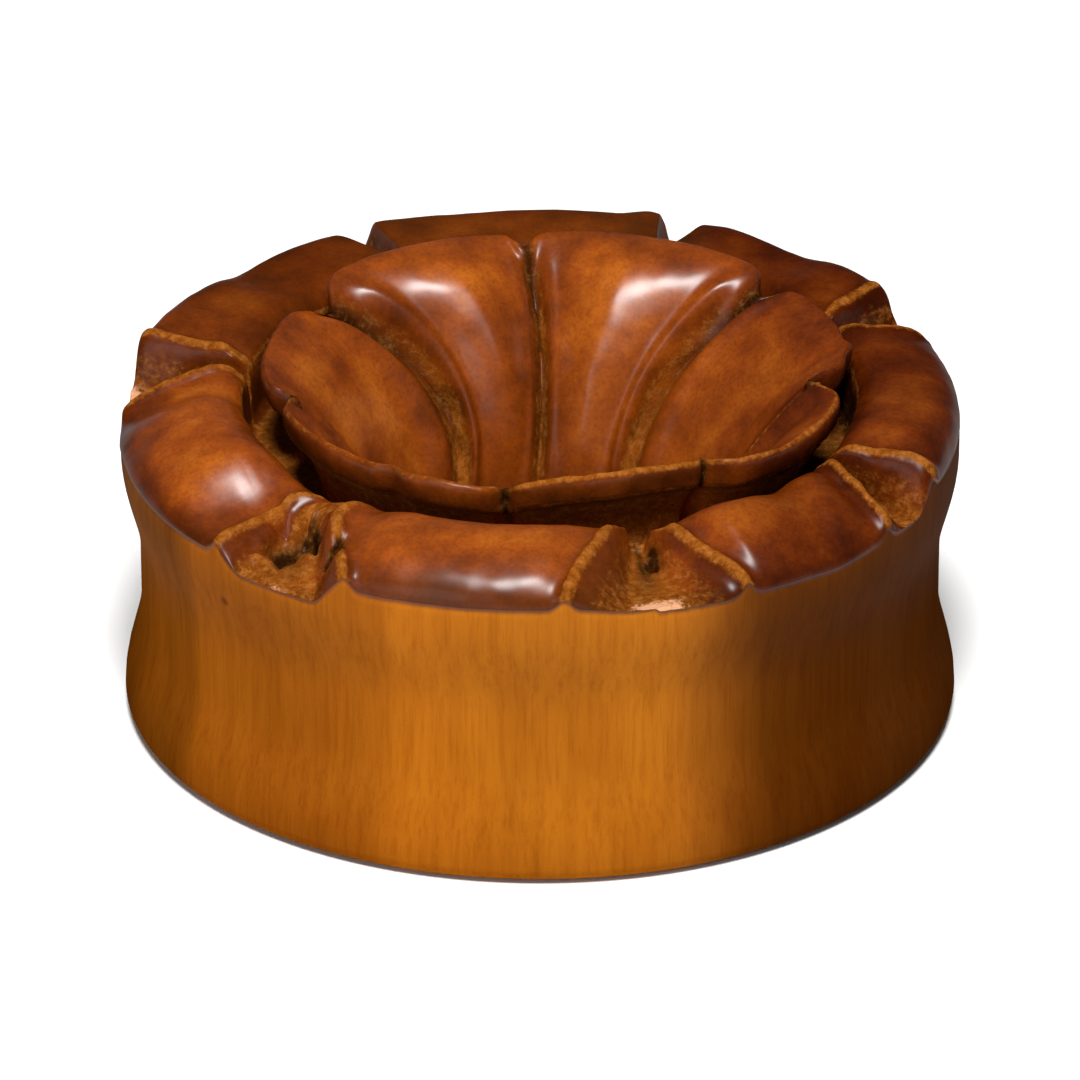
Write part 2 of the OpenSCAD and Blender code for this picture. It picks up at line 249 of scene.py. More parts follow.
# Inner petals, one behind each notch, each with the seam after it.
# seam: middle of the seam, in degrees
# reach and tip: how far the lip reaches out and up at the petal's middle, as shares
# seam_reach and seam_tip: the same at the seam
# gape and rib: half width of the seam at the lip and height of the ribs beside it, in millimetres
# swell: how far the petal swells, as a share
# sway: how far the seam bows aside on its way down, in degrees
# bare: how bare the edge of the lip is
INNER_COLUMNS = (
    "seam", "reach", "tip", "seam_reach", "seam_tip", "gape", "rib", "swell", "sway", "bare",
)
INNER_PETALS = (
    (40, 0.045, 0.02, 0.070, 0.00, 0.9, 0.50, 1.0, 17.0, 0.4),
    (95, 0.050, 0.09, 0.055, 0.05, 0.5, 0.12, 1.8, -4.0, 0.1),
    (146, 0.040, 0.09, 0.050, 0.00, 1.2, 0.60, 1.8, -25.0, 0.1),
    (192, -0.010, 0.00, -0.037, -0.06, 0.5, 0.30, 0.7, -1.0, 0.2),
    (260, -0.030, -0.02, -0.070, -0.12, 0.5, 0.30, 0.4, 0.8, 0.6),
    (306, -0.095, 0.04, -0.080, -0.04, 0.3, 0.30, 0.3, -1.5, 1.0),
    (356, 0.030, 0.00, -0.010, -0.06, 0.4, 0.15, 0.5, 1.2, 0.8),
)
PETAL_N = len(OUTER_PETALS)

# Waves along the outer petals' crests. columns: angle, half width, lift as a share
WAVES = (
    (39, 5, 0.03), (50, 6, -0.08), (62, 4, 0.03), (74, 3, 0.07), (114, 3, 0.03), (138, 6, -0.10),
    (181, 4, -0.14), (206, 14, 0.04), (303, 5, 0.03), (314, 4, -0.10), (324, 4, 0.02),
)
# Chips in the inner petals' lips. columns: angle, half width in degrees, depth in millimetres
CHIPS = (
    (352, 3.0, 0.9), (358, 2.0, 0.7), (9, 1.6, -0.3), (196, 2.0, 0.25), (236, 2.5, 0.3),
    (97, 1.5, 0.3),
)
# Pits that the knife left in the wide notches. columns: angle, radius, half width along the
# rim, half length outwards, depth, all but the angle in millimetres
PITS = (
    (227, 17.4, 1.0, 0.9, 1.6), (230, 16.9, 0.7, 0.5, 0.8), (238.5, 18.4, 0.6, 0.7, 0.9),
    (287.5, 15.9, 0.5, 0.8, 0.3),
)
# How ragged a pit's outline is, the grain and seed it follows, the least and most it is drawn
# in, how steep its wall is, from which share of the way out and over which length pits fade,
# how dark their painted shade is, and the start and length of their depth over which it grows
PIT_RAGGED = 0.8
PIT_GRAIN = (0.8, 4.4)
PIT_DRAW = (0.75, 1.6)
PIT_POWER = 1.3
PIT_FADE = (0.88, 0.1)
PIT_DARK = 1.3
PIT_DARK_FROM = (0.15, 0.85)
# Section of an outer petal from its inner edge to its crest: share of the way to the rim,
# share of the crest
OUTER_SECTION = (
    (0.00, 0.00), (0.008, 0.30), (0.018, 0.58), (0.030, 0.75), (0.045, 0.80), (0.08, 0.85),
    (0.14, 0.915), (0.22, 0.97), (0.32, 1.00), (1.00, 1.00),
)
# The lip's edge, outer face and lower edge: distance out and up from the trumpet's end, in
# millimetres, and how bare the wood is
LIP_SECTION = (
    (0.08, -0.03, 1.0), (0.15, -0.10, 1.0), (0.20, -0.20, 0.6), (0.22, -0.36, 0.1),
    (0.20, -0.60, 0.0), (0.16, -0.85, 0.0), (0.10, -1.08, 0.1), (0.06, -1.24, 0.7),
    (0.00, -1.36, 1.0), (-0.12, -1.46, 0.8), (-0.35, -1.56, 0.4),
)
# Underside of the lip: share of the undercut, share of the drop to the groove's floor
UNDER_SECTION = (
    (0.30, 0.40), (0.48, 0.47), (0.66, 0.55), (0.80, 0.65), (0.91, 0.76), (0.98, 0.87),
    (1.00, 0.95),
)

# Blank that the carving starts from, in metres, with the distance that closes its seam
BLANK_R = 0.013
BLANK_SECTION_R = 0.006
WELD = BLANK_SECTION_R / 1000
# Resolution of the carving: columns and rows
HALF_STEPS = 42
COLUMNS = 2 * PETAL_N * HALF_STEPS
TRUMPET_ROWS = 44
FLOOR_ROWS = 5
OUTER_ROWS = 52
SADDLE_ROWS = 26
EDGE_ROWS = 6
BACK_ROWS = 6
BORE_ROWS = 5
# Share of a half petal's columns inside the notch, and how they crowd towards the notch and
# towards a seam
NOTCH_COLUMNS = 0.36
NOTCH_CLUSTER = 1.15
SEAM_CLUSTER = 1.35
# How rows crowd towards the trumpet's lip and under the petals' rim, and the first share of
# the way out that has a row of the outer petals
TRUMPET_CLUSTER = 0.85
SADDLE_CLUSTER = 1.5
OUTER_START = 0.02

# Marks on the surface, each from 0 to 1: carved rather than turned, left raw by the knife, deep
# in a crevice, with dust and painted shade, painted shade down in the bowl, pale from chips and
# from painted light in the groove, painted shade at the back, the right and the rim, and painted
# light in gold on the swells and crests
MARKS = ("carved", "raw", "deep", "bowl", "pale", "smoke", "worn")
# The hand's unevenness and the rough wood. columns: height and grain in millimetres, seed
HAND_MARKS = ((0.07, 2.6, 3.1), (0.03, 0.9, 7.7))
ROUGH_MARKS = ((0.10, 0.5, 5.3), (0.14, 1.1, 1.7))
# How rough raw wood is against a deep crevice
RAW_ROUGH = 0.5

# Patterns in the wood. columns: grains in a millimetre, detail and roughness of the noise
WARP_NOISE = (0.18, 2.0, 0.5)
CLOUD_NOISE = (0.25, 3.0, 0.5)
FIBRE_NOISE = (4.2, 5.0, 0.7)
STREAK_NOISE = (1.3, 3.0, 0.6)
PORE_NOISE = (5.0, 3.0, 0.6)
EDGE_NOISE = (2.6, 5.0, 0.75)
BLOTCH_NOISE = (0.30, 4.0, 0.62)
NOISE_MIDDLE = 0.5
# How far patterns are drawn out along Z: the wood's grain and its clouds
GRAIN_STRETCH = (1, 1, 0.06)
CLOUD_STRETCH = (1, 1, 0.4)

# Colours of the wood from the left of the barrel to its right, at shares of its width: the
# board's bands, with painted shade darker towards both sides and darkest on the right
BOARD_AND_SHADE_STOPS = (
    (0.02, (0.125, 0.036, 0.002)), (0.10, (0.25, 0.070, 0.004)), (0.24, (0.235, 0.066, 0.004)),
    (0.36, (0.34, 0.103, 0.006)), (0.50, (0.31, 0.097, 0.006)), (0.61, (0.34, 0.108, 0.007)),
    (0.67, (0.28, 0.086, 0.007)), (0.72, (0.17, 0.048, 0.004)), (0.77, (0.085, 0.022, 0.0015)),
    (0.87, (0.072, 0.018, 0.001)), (0.98, (0.065, 0.018, 0.003)),
)
BOARD_WIDTH = 40
BOARD_WARP = 9
# The carved flower's stain, from its darkest blotches to where painted light lifts it most, the
# painted light at which it is neither darker nor lighter, how far painted light lightens it, and
# how much it hides
STAIN_STOPS = (
    (0.25, (0.055, 0.0065, 0.0004)), (0.40, (0.115, 0.0175, 0.0009)),
    (0.56, (0.200, 0.036, 0.0016)), (0.76, (0.320, 0.078, 0.0045)),
)
STAIN_MIDDLE = 0.6
STAIN_GLOW = 0.26
STAIN_SHARE = 0.9
# Raw wood along the cut edges, and dust with painted shade in the crevices
BARE_STOPS = (
    (0.30, (0.12, 0.030, 0.003)), (0.50, (0.22, 0.066, 0.007)), (0.72, (0.36, 0.13, 0.028)),
)
DUST_AND_SHADE_STOPS = (
    (0.38, (0.014, 0.004, 0.001)), (0.52, (0.05, 0.016, 0.003)), (0.70, (0.17, 0.075, 0.015)),
)
# Pale wood of chips and seams, also painted light on the lip's underside and the groove's floor
PALE_WOOD = (0.50, 0.25, 0.13)
# Where raw wood, dust with painted shade, and pale chips with painted light show. columns: how
# ragged their edge is, the mark from which they show and the mark at which they are full. Then
# how much the first two hide
BARE_EDGE = (1.1, 0.40, 1.05)
DUST_AND_SHADE_EDGE = (1.0, 0.3, 0.95)
CHIP_AND_LIGHT_EDGE = (1.2, 0.45, 0.8)
BARE_SHARE = 0.75
DUST_AND_SHADE_SHARE = 0.92
# Patterns and marks that darken the wood, the deepest crevices with painted shade. columns: from
# where and up to where they grow, their share, the tint
CLOUD_TINT = (0.35, 0.65, 0.30, (0.66, 0.56, 0.50))
STREAK_TINT = (0.40, 0.62, 0.22, (0.62, 0.44, 0.30))
FIBRE_TINT = (0.45, 0.65, 0.26, (0.50, 0.36, 0.26))
PORE_TINT = (0.42, 0.68, 0.45, (0.50, 0.36, 0.30))
DEEPEST_SHADE_TINT = (0.6, 1.0, 0.75, (0.3, 0.28, 0.26))
# Tints of the barrel's foot and of the bowl's painted shade, each with its share, and of the
# painted shade at the back, the right and the rim
FOOT_TINT = (0.8, (0.80, 0.74, 0.62))
BOWL_SHADE_TINT = (0.6, (0.45, 0.32, 0.30))
PAINTED_SHADE_TINT = (0.36, 0.28, 0.28)
# Height below which the barrel darkens, and between which its polish comes in
FOOT_H = 7
POLISH_HEIGHTS = (6, 12)
# A pin knot on the front left of the barrel: place and edge in millimetres, and tint
PIN_KNOT = (-14.4, -12.9, 11.3)
PIN_KNOT_EDGE = (0.12, 0.45)
PIN_KNOT_TINT = (0.25, 0.20, 0.20)
# Roughness of the carving, what the barrel and raw wood add to it, and how far streaks vary it
ROUGHNESS = 0.36
BARREL_ROUGHNESS = 0.2
RAW_ROUGHNESS = 0.35
STREAK_ROUGHNESS = 0.1
# Polish on the carving and on the barrel, the share of it that painted shade takes away, and
# its roughness. The wood under it has no gloss of its own.
CARVED_POLISH = 0.7
BARREL_POLISH = 0.04
SHADE_LOSS = 0.7
POLISH_ROUGHNESS = 0.31
SPECULAR = 0.0
# Fine relief: heights of the barrel's fibres, the pores and the ragged edges against one
# another, its strength, and its height in metres
FIBRE_RELIEF = 0.5
PORE_RELIEF = 0.4
EDGE_RELIEF = 1.4
RELIEF_STRENGTH = 0.35
RELIEF_H = 0.00012

# Floor, in metres
FLOOR_SIDE = 6
FLOOR_DROP = 0.0001
FLOOR_COLOUR = (0.86, 0.86, 0.85)
FLOOR_ROUGHNESS = 0.6
# The camera looks down at the plug from the photograph's angle.
ELEVATION = math.radians(26.5)
DISTANCE = 0.45
AIM = Vector((0, 0, 0.0079))
PIXELS_PER_MM = 21
PHOTO_SIDE = 1080
SENSOR = 36
CLIP_START = 0.01
# Lights. columns: name, azimuth and elevation in degrees, distance and size in metres, watts
LIGHTS = (("key", 0, 64, 0.6, 0.2, 6.5), ("front", -30, 18, 0.9, 0.5, 2.0))
SKY = 0.10


def mix(a, b, t):
    return a + (b - a) * t


def smooth(t):
    t = np.clip(t, 0, 1)
    return t * t * (3 - 2 * t)


def ease(x, start, length):
    """0 up to the start, 1 from the end of the length on, smooth in between."""
    return smooth((x - start) / length)


def bell(x, width):
    return np.exp(-((x / width) ** 2))


def grit(points, size, seed):
    """Smooth noise from -1 to 1 at each point, with grains of the given size."""
    lift = Vector((seed, 2 * seed, -seed))
    return np.array([noise.noise(Vector(p) / size + lift) for p in points])


def column_table():
    """What each radial line of the carving knows of its petals, as arrays over the columns."""
    c = np.arange(COLUMNS)
    half = c // HALF_STEPS
    petal = half // 2
    rising = half % 2 == 0
    step = (c % HALF_STEPS) / HALF_STEPS
    own = np.where(rising, petal, (petal + 1) % PETAL_N)
    outer = dict(zip(OUTER_COLUMNS, np.array(OUTER_PETALS, float).T))
    inner = dict(zip(INNER_COLUMNS, np.array(INNER_PETALS, float).T))
    at_notch = ("notch", "start", "root", "width", "skew", "bed", "top", "floor", "pale")
    at_seam = ("seam", "seam_reach", "seam_tip", "gape", "rib", "sway")
    col = {k: outer[k][own] for k in at_notch}
    col |= {k: outer[k][petal] for k in ("roll", "lift")}
    col |= {k: inner[k][own] for k in ("reach", "tip", "swell", "bare")}
    col |= {k: inner[k][petal] for k in at_seam}
    col["drift"] = (inner["sway"][own] + inner["sway"][own - 1]) / 2
    col["notch"] = col["notch"] + np.where(~rising & (petal == PETAL_N - 1), 360, 0)
    col["end"] = np.where(rising, outer["after"][own], outer["before"][own])
    col["way"] = np.where(rising, step, 1 - step)
    col["turn"] = np.where(rising, 1, -1)
    col["span"] = np.abs(col["seam"] - col["notch"])
    return col


COL = column_table()


def inner_offset():
    """Degrees from the middle of an inner petal, crowded towards its seam."""
    return COL["span"] * (1 - (1 - COL["way"]) ** SEAM_CLUSTER)


def outward(r):
    """0 where the notch starts to open, 1 at the rim."""
    start = mix(GROOVE_OUT_R, RIM_R, COL["start"])
    return np.clip((r - start) / (RIM_R - start), 0, 1)


def notch_open(r):
    """Half the opening of the notch, in degrees, at radius r."""
    return COL["root"] + NOTCH_HALF * COL["width"] * outward(r) ** NOTCH_FLARE


def outer_offset(r):
    """Degrees from the middle of a notch, so that some columns follow the notch's wall."""
    gap = notch_open(r)
    way = COL["way"]
    inside = way / NOTCH_COLUMNS * gap
    along = ((way - NOTCH_COLUMNS) / (1 - NOTCH_COLUMNS)) ** NOTCH_CLUSTER
    return np.where(way < NOTCH_COLUMNS, inside, mix(gap, COL["span"], along))


def angle_of(offset):
    return COL["notch"] + COL["turn"] * offset


def angle_gap(angle, middle):
    return (angle - middle + 180) % 360 - 180


def place(r, z, angle, shift=0.0):
    """Points of one row from radius, height and angle, moved by a share of the flower's shift."""
    a = np.radians(angle)
    r = r + np.zeros(COLUMNS)
    x = r * np.cos(a) + FLOWER_SHIFT[0] * shift
    y = r * np.sin(a) + FLOWER_SHIFT[1] * shift
    return np.stack([x, y, z + np.zeros(COLUMNS)], axis=1)


def row(points, **marks):
    """A row of the carving with its marks: finish, painted shade and painted light."""
    full = {k: marks.get(k, 0) + np.zeros(COLUMNS) for k in MARKS}
    return points, full


def painted_right_shade(points):
    """How far the painted shade on the plug's right side shows, from 0 to 1."""
    return ease(points[:, 0], *RIGHT_SHADE_SPAN)


def groove_shade(angle):
    """How much painted shade the groove gets: open and black on the right, shallow and brown
    elsewhere.
    """
    near = bell(angle_gap(angle, GROOVE_SHADE_MIDDLE), GROOVE_SHADE_HALF)
    return mix(GROOVE_SHADE_LEAST, 1, near**GROOVE_SHADE_POWER)


def across():
    """0 along the middle of an inner petal, 1 along its seams."""
    return inner_offset() / COL["span"]


def seam_gap(r):
    """Distance along the surface to the seam, in millimetres."""
    return np.radians(COL["span"] - inner_offset()) * r


def lip_radius():
    """Radius of the lip, with its scallops at the seams and its chips."""
    t = across()
    a = angle_of(inner_offset())
    r = LIP_R * (1 + mix(COL["reach"], COL["seam_reach"], t**LIP_SPREAD))
    gape = COL["gape"] * bell(seam_gap(LIP_R), COL["gape"])
    r = r - LIP_SCALLOP * (SCALLOP_ROUND * t**SCALLOP_POWER + SCALLOP_GAPE * gape)
    for middle, half, depth in CHIPS:
        r = r - depth * bell(angle_gap(a, middle), half)
    return r


def lip_height():
    """Height of the lip, with its dips at the seams."""
    lift = 1 + mix(COL["tip"], COL["seam_tip"], across() ** LIP_SPREAD)
    dip = LIP_DIP * COL["gape"] * bell(seam_gap(LIP_R), COL["gape"])
    return GROOVE_Z + (LIP_Z - GROOVE_Z) * lift - dip


def trumpet_row(u):
    """A row of the inner petals, at share u of the way from the bore to the lip."""
    full = INNER_BULGE * COL["swell"] * (1 - across() ** SWELL_SPREAD)
    lip_slope = math.atan(LIP_SLOPE)
    lip_end = lip_radius() + BULGE_LEFT * full * math.sin(lip_slope)
    r = mix(BORE_R, lip_end, u**TRUMPET_POWER)
    z = mix(BORE_H, lip_height() - BULGE_LEFT * full * math.cos(lip_slope), u)
    slope = math.atan(mix(BORE_SLOPE, LIP_SLOPE, u))

    # Swell, seam and ribs, as a height square to the trumpet's wall
    gap = seam_gap(r)
    grow = ease(u, RELIEF_START, RELIEF_GROWTH)
    near_lip = ease(u, *RELIEF_FADE)
    grown = ease(u, RELIEF_START, BULGE_PLACE - RELIEF_START)
    past_full = max(0, (u - BULGE_PLACE) / (1 - BULGE_PLACE))
    bulge = full * grown * mix(1, BULGE_LEFT, past_full**2)
    width = mix(SEAM_FOOT, COL["gape"], u**SEAM_POWER)
    valley = bell(gap, width)
    rib = COL["rib"] * bell(gap - width - RIB_GAP, RIB_HALF + RIB_SPREAD * COL["rib"])
    h = bulge + grow * (1 - near_lip) * (rib - SEAM_DEPTH * valley)
    sway = mix(COL["drift"], COL["sway"], across()) * math.sin(math.pi * u)
    angle = angle_of(inner_offset()) + sway
    points = place(r - h * math.sin(slope), z + h * math.cos(slope), angle, smooth(u))

    # Raw wood beside the seams and on the lip's edge, painted light in gold on the swell, and
    # painted shade in the seams, the bowl and on the right
    raw_seam = mix(*SEAM_RAW, u) * grow * bell(gap - SEAM_RAW_AT * width, SEAM_RAW_HALF)
    raw_lip = COL["bare"] * ease(u, *LIP_RAW)
    swell_glow = (1 - across() ** 2) * ease(u, *GLOW_START)
    return row(
        points,
        carved=1,
        raw=raw_seam + raw_lip,
        deep=mix(*SEAM_DARK, u) * valley * grow,
        pale=SEAM_PALE * (1 - u) * valley * grow,
        bowl=1 - ease(u, *BOWL_SHADE_END),
        smoke=INNER_SHADE * painted_right_shade(points),
        worn=swell_glow * (1 - GLOW_LOSS * ease(u, *GLOW_END)),
    )


def lip_row(k):
    """A row of the lip's edge and outer face."""
    out, up, bare = LIP_SECTION[k]
    points = place(lip_radius() + out, lip_height() + up, angle_of(inner_offset()), 1)
    # Painted shade in the lip's seams and towards the face's foot, plus the inner petals' painted
    # shade
    at_seam = bell(seam_gap(LIP_R), LIP_SEAM * COL["gape"])
    shadow = LIP_DARK * k / len(LIP_SECTION) * groove_shade(angle_of(inner_offset()))
    deep = np.maximum(shadow, at_seam)
    return row(points, carved=1, raw=bare * COL["bare"], deep=deep, smoke=INNER_SHADE)


def under_angle(k):
    """Columns pass from the inner petals' spacing to the outer petals' across the groove."""
    blend = (k + 1) / (len(UNDER_SECTION) + FLOOR_ROWS)
    return angle_of(mix(inner_offset(), outer_offset(GROOVE_OUT_R), blend))


def under_row(k):
    """A row of the lip's underside."""
    t, drop = UNDER_SECTION[k]
    z = mix(lip_height(), GROOVE_Z, drop)
    angle = under_angle(k)
    # Painted shade from the groove, and painted light where the groove isn't shaded
    deep = groove_shade(angle) * mix(UNDER_SHADE, 1, ease(drop, *UNDER_DROP))
    points = place(lip_radius() - UNDERCUT * t, z, angle, 1)
    pale = UNDER_PAINTED_LIGHT * (1 - groove_shade(angle))
    return row(points, carved=1, raw=UNDER_RAW, deep=deep, pale=pale)


def floor_row(k):
    """A row of the groove's floor."""
    t = (k + 1) / (FLOOR_ROWS + 1)
    r = mix(lip_radius() - UNDERCUT, GROOVE_OUT_R, t)
    angle = under_angle(len(UNDER_SECTION) + k)
    # Painted shade from the groove, and painted light where the groove isn't shaded
    dark = groove_shade(angle)
    points = place(r, GROOVE_Z, angle, 1)
    return row(points, carved=1, raw=1, deep=GROOVE_FLOOR_SHADE * dark, pale=GROOVE_PAINTED_LIGHT * (1 - dark))


def outer_up(v):
    """Height of the outer petals at share v of the way to the rim, as a share of the crest."""
    up = np.interp(v, [p[0] for p in OUTER_SECTION], [p[1] for p in OUTER_SECTION])
    crest = 1 - ROLL_REACH * COL["roll"]
    power = mix(ROLL_SQUARE, ROLL_ROUND, np.clip(COL["roll"] / ROLL_FULL, 0, 1))
    w = np.clip((v - crest) / (1 - crest), 0, 1)
    return up - COL["roll"] * ROLL_H / CREST_H * (1 - (1 - w**power) ** (1 / power))


def waves(angle):
    return sum(lift * bell(angle_gap(angle, middle), half) for middle, half, lift in WAVES)


def petal_height(v, angle, share, edge):
    """Height of the outer petals: crest and waves, the fall towards a notch and the ridge."""
    rise = smooth(v / FOOT_REACH)
    hold = FALL_SPREAD * np.clip(COL["end"] - FALL_FROM, 0, 1)
    fall = 1 - smooth((share - hold) / FALL_SPREAD)
    grown = mix(FOOT_FALL * rise, 1, smooth(v / FALL_FULL))
    drop = COL["end"] * fall * grown * (1 - v**FALL_POWER)
    crest = outer_up(v) * (1 + COL["lift"] + waves(angle) * rise)
    ridge = bell(edge - EDGE_AT, EDGE_HALF)
    steep = np.minimum(EDGE_TOP, COL["end"] / EDGE_END)
    return GROOVE_Z + CREST_H * (crest - drop) + EDGE_LIP * ridge * smooth(v / EDGE_IN) * steep


def cut_notch(petal, gap, offset, out, rise):
    """Heights with the notches cut in, and how far inside a notch each point lies."""
    foot = COL["bed"] * gap
    inside = 1 - smooth((offset - foot) / (gap - foot))
    hollow = out ** np.where(COL["top"] > COL["floor"], NOTCH_HOLLOW, 1)
    floor = GROOVE_Z + CREST_H * mix(COL["top"], COL["floor"], hollow)
    depth = inside * mix(NOTCH_ROOT_DEPTH, 1, smooth(out / NOTCH_OUT)) * rise
    return mix(petal, np.minimum(petal, floor), depth), inside


def sink_pits(r, z, angle, v):
    """Heights with the pits sunk in, and how far in a pit each point lies."""
    grain = grit(place(r, z, angle, 1 - v), *PIT_GRAIN)
    ragged = np.clip(1 + PIT_RAGGED * grain, *PIT_DRAW)
    pit = np.zeros(COLUMNS)
    for middle, pit_r, half_wide, half_long, depth in PITS:
        aside = np.radians(angle_gap(angle, middle)) * r
        away = np.hypot(aside / half_wide, (r - pit_r) / half_long) * ragged
        shape = bell(away**PIT_POWER, 1) * (1 - ease(v, *PIT_FADE))
        z = z - depth * shape
        pit = np.maximum(pit, shape)
    return z, pit


def knife_raw(v, gap, offset, edge, inside, rise):
    """Where the knife left raw wood: along the cut edges, at the foot and in the notches."""
    along_edge = EDGE_RAW * bell(edge - EDGE_RAW_AT, EDGE_RAW_HALF) * rise
    along_edge = along_edge * np.minimum(1, COL["end"] / EDGE_RAW_FALL)
    at_foot = FOOT_RAW * bell(v - FOOT_RAW_AT, FOOT_RAW_HALF)
    raw = mix(np.maximum(along_edge, at_foot), NOTCH_RAW, inside)
    return np.maximum(raw, WALL_RAW * smooth((gap - offset) / (WALL_RAW_REACH * gap)))


def crevices(v, gap, offset, angle, out, cut, pit):
    """How deep in a crevice each point lies, for dust and painted shade: in a notch, in a pit or on
    the groove's wall.
    """
    middle = bell(offset / gap, NOTCH_DARK_HALF + NOTCH_DARK_BED * COL["bed"])
    notch = cut * (NOTCH_DARK + NOTCH_DARK_MIDDLE * middle) * (1 - NOTCH_DARK_LOSS * out**2)
    sunk = PIT_DARK * ease(pit, *PIT_DARK_FROM)
    wall = groove_shade(angle) * (1 - smooth(v / SHADE_REACH))
    return np.maximum(np.maximum(notch, sunk), wall)


def outer_shade(v, points):
    """How far painted shade darkens the outer petals: at the back, the right and the rim."""
    back = ease(points[:, 1] + BACK_TURN * points[:, 0], *BACK_SHADE)
    rim = RIM_SHADE_SHARE * ease(v, *RIM_SHADE)
    return np.maximum(back, np.maximum(RIGHT_SHADE * painted_right_shade(points), rim))


def outer_row(v):
    """A row of the outer petals and their notches, at share v of the way out to the rim."""
    r = mix(GROOVE_OUT_R, RIM_R, v)
    out = outward(r)
    gap = notch_open(r)
    offset = outer_offset(r)
    share = np.clip((offset - gap) / (COL["span"] - gap), 0, 1)
    edge = np.radians(offset - gap) * r
    angle = angle_of(offset) + COL["skew"] * (1 - out) * (1 - share) ** 2 * smooth(v / EDGE_IN)
    rise = smooth(v / FOOT_REACH)
    petal = petal_height(v, angle, share, edge)
    z, inside = cut_notch(petal, gap, offset, out, rise)
    z, pit = sink_pits(r, z, angle, v)
    points = place(r, z, angle, 1 - v)
    cut = np.clip((petal - z) / NOTCH_DARK_DEPTH, 0, 1)
    # Painted shade in the crevices, at the back, the right and the rim; painted light on the crests
    return row(
        points,
        carved=1,
        raw=knife_raw(v, gap, offset, edge, inside, rise),
        deep=crevices(v, gap, offset, angle, out, cut, pit),
        pale=COL["pale"] * inside * bell(offset / gap, CHIP_HALF) * ease(out, *CHIP_OUT),
        smoke=outer_shade(v, points),
        worn=smooth(share * CREST_GLOW_GROWTH) * bell(v - CREST_GLOW_AT, CREST_GLOW_HALF),
    )


def saddle_r(z):
    """Radius of the barrel's saddle at height z: an S-curve from each flare to the waist."""
    lower = np.clip((z - BACK_FLARE_Z) / (SADDLE_REACH * (WAIST_Z - BACK_FLARE_Z)), 0, 1)
    upper = np.clip((FRONT_FLARE_Z - z) / (SADDLE_REACH * (FRONT_FLARE_Z - WAIST_Z)), 0, 1)
    fall = np.where(z < WAIST_Z, lower, upper)
    return WAIST_R + FLARE * (0.5 + 0.5 * np.cos(math.pi * fall))


def saddle_row(t, rim_z):
    """Rows from the petals' rim down the saddle to the back flare."""
    z = mix(rim_z, BACK_FLARE_Z, t)
    below = rim_z - z
    r = saddle_r(z) - CREASE * (1 - smooth(below / CREASE_H))
    points = place(r, z, angle_of(outer_offset(RIM_R)))
    return row(points, carved=1 - smooth(below / CARVED_H))


def edge_row(k):
    """Rounded edge between the back flare and the back face."""
    a = math.radians(90 * (k + 1) / EDGE_ROWS)
    r = RIM_R - BACK_FLARE_Z * (1 - math.cos(a))
    return row(place(r, BACK_FLARE_Z * (1 - math.sin(a)), angle_of(outer_offset(RIM_R))))


def back_row(k):
    """A row of the flat back face, from its edge in to the bore's bevel."""
    t = (k + 1) / BACK_ROWS
    angle = angle_of(mix(outer_offset(RIM_R), inner_offset(), t))
    return row(place(mix(RIM_R - BACK_FLARE_Z, BORE_R + BORE_BEVEL, t), 0, angle))


def bore_row(k):
    z = mix(BORE_BEVEL, BORE_H, k / BORE_ROWS)
    return row(place(BORE_R, z, angle_of(inner_offset())))


def build_rows():
    """All rows of the carving, up the bore, over the flower and down to the back face."""
    rows = [bore_row(k) for k in range(BORE_ROWS)]
    rows += [trumpet_row(u) for u in np.linspace(0, 1, TRUMPET_ROWS) ** TRUMPET_CLUSTER]
    rows += [lip_row(k) for k in range(len(LIP_SECTION))]
    rows += [under_row(k) for k in range(len(UNDER_SECTION))]
    rows += [floor_row(k) for k in range(FLOOR_ROWS)]
    rows += [outer_row(v) for v in smooth(np.linspace(OUTER_START, 1, OUTER_ROWS))]
    rim_z = rows[-1][0][:, 2]
    down = np.linspace(0, 1, SADDLE_ROWS + 1)[1:] ** SADDLE_CLUSTER
    rows += [saddle_row(t, rim_z) for t in down]
    rows += [edge_row(k) for k in range(EDGE_ROWS)]
    rows += [back_row(k) for k in range(BACK_ROWS)]
    return rows


def vertex_places(piece):
    co = np.zeros(len(piece.data.vertices) * 3)
    piece.data.vertices.foreach_get("co", co)
    return co.reshape(-1, 3)


def roll_blank(rows):
    """The blank: a sheet of squares rolled into a closed ring, a column for each radial line."""
    bpy.ops.object.select_all(action="DESELECT")
    bpy.ops.mesh.primitive_grid_add(x_subdivisions=COLUMNS, y_subdivisions=rows, size=2)
    blank = bpy.context.object
    x, y = vertex_places(blank)[:, :2].T
    turn, section = math.pi * x, math.pi * y
    r = BLANK_R + BLANK_SECTION_R * np.cos(section)
    ring = np.stack([r * np.cos(turn), r * np.sin(turn), BLANK_SECTION_R * np.sin(section)], axis=1)
    blank.data.vertices.foreach_set("co", ring.ravel())
    bpy.ops.object.mode_set(mode="EDIT")
    bpy.ops.mesh.select_all(action="SELECT")
    bpy.ops.mesh.remove_doubles(threshold=WELD)
    bpy.ops.mesh.normals_make_consistent(inside=False)
    bpy.ops.object.mode_set(mode="OBJECT")
    return blank


def step_of(y, x, steps):
    """Which of the steps round a circle the direction x, y is nearest to."""
    return np.round(np.arctan2(y, x) / (2 * math.pi) * steps).astype(int) % steps


def blank_places(blank, rows):
    """The column and the row that each point of the blank belongs to."""
    x, y, z = vertex_places(blank).T
    return step_of(y, x, COLUMNS), step_of(z, np.hypot(x, y) - BLANK_R, rows)


